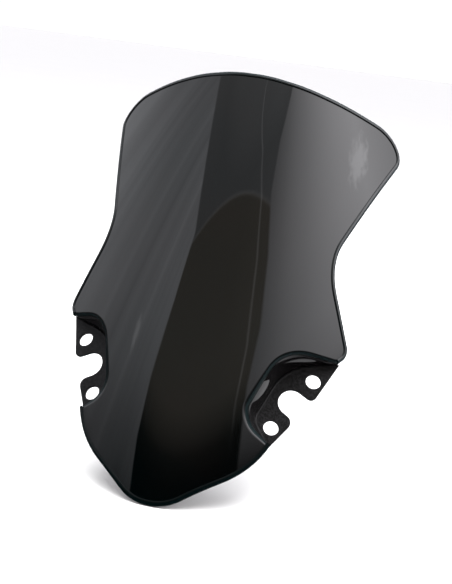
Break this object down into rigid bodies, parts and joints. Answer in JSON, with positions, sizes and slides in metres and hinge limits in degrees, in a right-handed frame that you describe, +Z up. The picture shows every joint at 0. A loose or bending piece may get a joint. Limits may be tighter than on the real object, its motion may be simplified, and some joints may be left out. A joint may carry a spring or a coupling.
{
  "type": "windshield screen",
  "caption": "Tall convex smoke-tinted motorcycle windshield with a dark edge trim and two recessed side mounting ears, each with round holes and a notch in its free edge.",
  "frame": {"origin": "bottom centre of the bounding box, with the screen leaning back at its riding angle", "axes": "+X across the screen, to the right as seen from the front; -Y forward, the way the convex face looks; +Z up"},
  "size_m": [0.3074, 0.2774, 0.399],
  "materials": {
    "smoke_panel": "polished, smoke tinted",
    "edge_trim": "satin, blue-green tint",
    "mount_ear": "fine grain, matte"
  },
  "bodies": {
    "root": {"screen_panel": "smoke_panel", "upper_edge_trim": "edge_trim", "lower_edge_trim": "edge_trim", "left_mount_ear": "mount_ear", "right_mount_ear": "mount_ear"}
  },
  "joints": []
}
